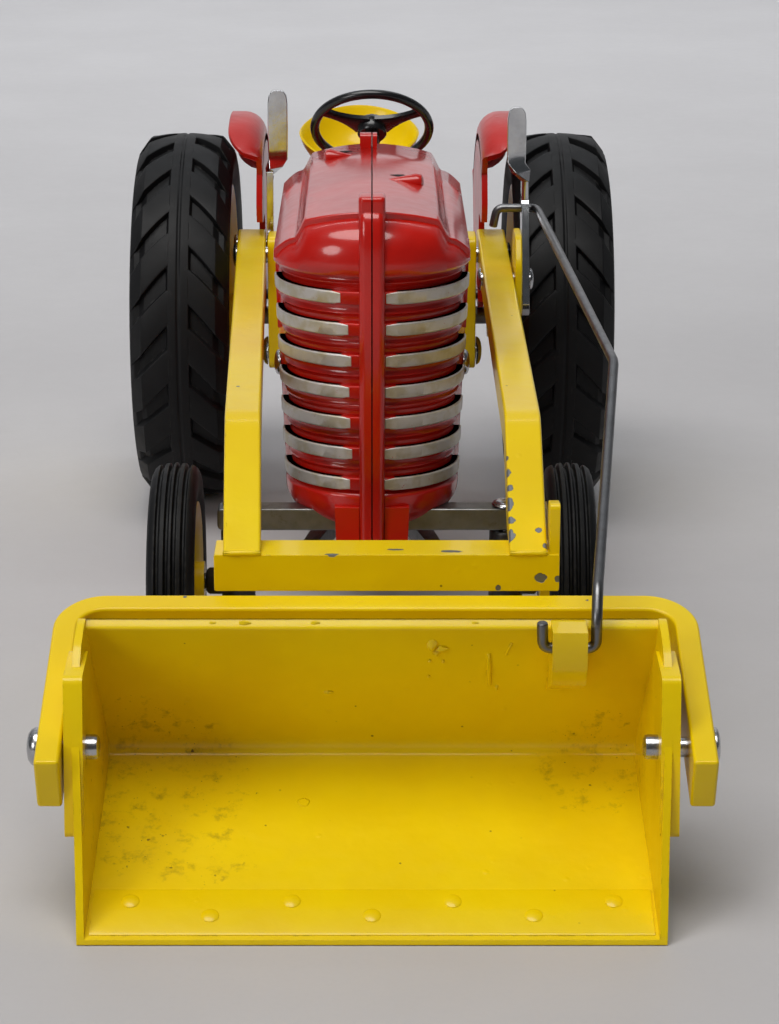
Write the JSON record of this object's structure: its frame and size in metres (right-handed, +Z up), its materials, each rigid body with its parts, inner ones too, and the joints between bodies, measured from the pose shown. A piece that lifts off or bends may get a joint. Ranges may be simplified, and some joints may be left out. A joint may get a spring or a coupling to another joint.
{
  "type": "toy tractor with front loader",
  "caption": "Toy farm tractor with a tripping front bucket on lifting arms, steered front axle, rolling rubber-tyred wheels, open seat and steering wheel.",
  "frame": {"origin": "on the ground, in the middle of the bounding box's footprint", "axes": "+X is the side of the trip lever, -Y points forward to the bucket, +Z is up"},
  "size_m": [0.119, 0.3034, 0.1096],
  "materials": {
    "red_paint": "thick glossy enamel on cast metal",
    "yellow_paint": "thick glossy enamel, small chips and rust specks",
    "black_paint": "satin black enamel",
    "tyre": "smooth dusty rubber with moulded lugs",
    "black_plastic": "moulded gloss",
    "chrome": "bright plating with wear",
    "zinc": "dull zinc plating",
    "steel": "dark bare steel with stains"
  },
  "bodies": {
    "tractor": {"body_left": "red_paint", "body_right": "red_paint", "body_rivet_1": "steel", "body_rivet_2": "steel", "body_rivet_3": "steel", "drawbar": "steel", "drawbar_screw": "steel", "fender_left": "red_paint", "fender_right": "red_paint", "fender_screw_left": "steel", "fender_screw_right": "steel", "front_axle_beam": "zinc", "front_stay": "steel", "kingpin_left": "zinc", "kingpin_right": "zinc", "lift_pin_left": "steel", "lift_pin_right": "steel", "mast_bolt": "steel", "mast_left": "yellow_paint", "mast_right": "yellow_paint", "rear_axle": "zinc", "seat_pan": "yellow_paint", "seat_screw": "steel", "seat_strip": "black_paint", "seat_strip_screw": "steel", "stay_screw_front": "steel", "stay_screw_rear": "steel", "steering_column": "black_paint"},
    "loader": {"arm_left": "yellow_paint", "arm_right": "yellow_paint", "crossbar": "yellow_paint", "yoke": "yellow_paint", "bucket_pin_left": "chrome", "bucket_pin_right": "chrome", "lever_bracket": "yellow_paint", "lever_pin": "steel", "lift_lever": "chrome", "lift_lever_rivet": "steel"},
    "bucket": {"bucket": "yellow_paint"},
    "trip_lever": {"trip_lever": "chrome"},
    "trip_rod": {"trip_rod": "zinc"},
    "rear_wheel_left": {"rear_wheel_left": "yellow_paint", "rear_tyre_left": "tyre"},
    "rear_wheel_right": {"rear_wheel_right": "yellow_paint", "rear_tyre_right": "tyre"},
    "front_wheel_left": {"front_wheel_left": "yellow_paint", "front_tyre_left": "tyre"},
    "front_wheel_right": {"front_wheel_right": "yellow_paint", "front_tyre_right": "tyre"},
    "knuckle_left": {"knuckle_left": "black_paint", "tie_rod_pin_left": "steel", "front_cap_left": "zinc"},
    "knuckle_right": {"knuckle_right": "black_paint", "tie_rod_pin_right": "steel", "front_cap_right": "zinc"},
    "tie_rod": {"tie_rod": "steel"},
    "steering_wheel": {"steering_wheel": "black_plastic"}
  },
  "joints": [
    {"name": "loader_lift", "type": "hinge", "parent": "tractor", "child": "loader", "pos_m": [0, 0.08075, 0.066], "axis": [-1, 0, 0], "range_deg": [0, 45]},
    {"name": "bucket_tilt", "type": "hinge", "parent": "loader", "child": "bucket", "pos_m": [0, -0.13595, 0.029], "axis": [1, 0, 0], "range_deg": [-20, 25]},
    {"name": "trip_lever_turn", "type": "hinge", "parent": "loader", "child": "trip_lever", "pos_m": [0.0347, 0.04935, 0.0671], "axis": [1, 0, 0], "range_deg": [-20, 25]},
    {"name": "trip_rod_turn", "type": "hinge", "parent": "trip_lever", "child": "trip_rod", "pos_m": [0.0347, 0.05675, 0.082], "axis": [1, 0, 0], "range_deg": [-25, 20]},
    {"name": "rear_left_spin", "type": "hinge", "parent": "tractor", "child": "rear_wheel_left", "pos_m": [-0.04525, 0.10675, 0.045], "axis": [1, 0, 0], "continuous": true},
    {"name": "rear_right_spin", "type": "hinge", "parent": "tractor", "child": "rear_wheel_right", "pos_m": [0.04525, 0.10675, 0.045], "axis": [1, 0, 0], "continuous": true},
    {"name": "steer_left", "type": "hinge", "parent": "tractor", "child": "knuckle_left", "pos_m": [-0.027, -0.03555, 0.03], "axis": [0, 0, 1], "range_deg": [-20, 20]},
    {"name": "steer_right", "type": "hinge", "parent": "tractor", "child": "knuckle_right", "pos_m": [0.027, -0.03555, 0.03], "axis": [0, 0, 1], "range_deg": [-20, 20]},
    {"name": "tie_rod_turn", "type": "hinge", "parent": "knuckle_left", "child": "tie_rod", "pos_m": [-0.027, -0.02125, 0.0342], "axis": [0, 0, 1], "range_deg": [-20, 20]},
    {"name": "front_left_spin", "type": "hinge", "parent": "knuckle_left", "child": "front_wheel_left", "pos_m": [-0.0394, -0.03555, 0.024], "axis": [1, 0, 0], "continuous": true},
    {"name": "front_right_spin", "type": "hinge", "parent": "knuckle_right", "child": "front_wheel_right", "pos_m": [0.0394, -0.03555, 0.024], "axis": [1, 0, 0], "continuous": true},
    {"name": "steering_wheel_turn", "type": "hinge", "parent": "tractor", "child": "steering_wheel", "pos_m": [0, 0.06175, 0.0994], "axis": [0, 0.7071, 0.7071], "continuous": true}
  ],
  "couplings": [
    {"joint": "trip_lever_turn", "follows": "bucket_tilt", "ratio": 1},
    {"joint": "trip_rod_turn", "follows": "bucket_tilt", "ratio": -1},
    {"joint": "steer_right", "follows": "steer_left", "ratio": 1},
    {"joint": "tie_rod_turn", "follows": "steer_left", "ratio": -1}
  ]
}
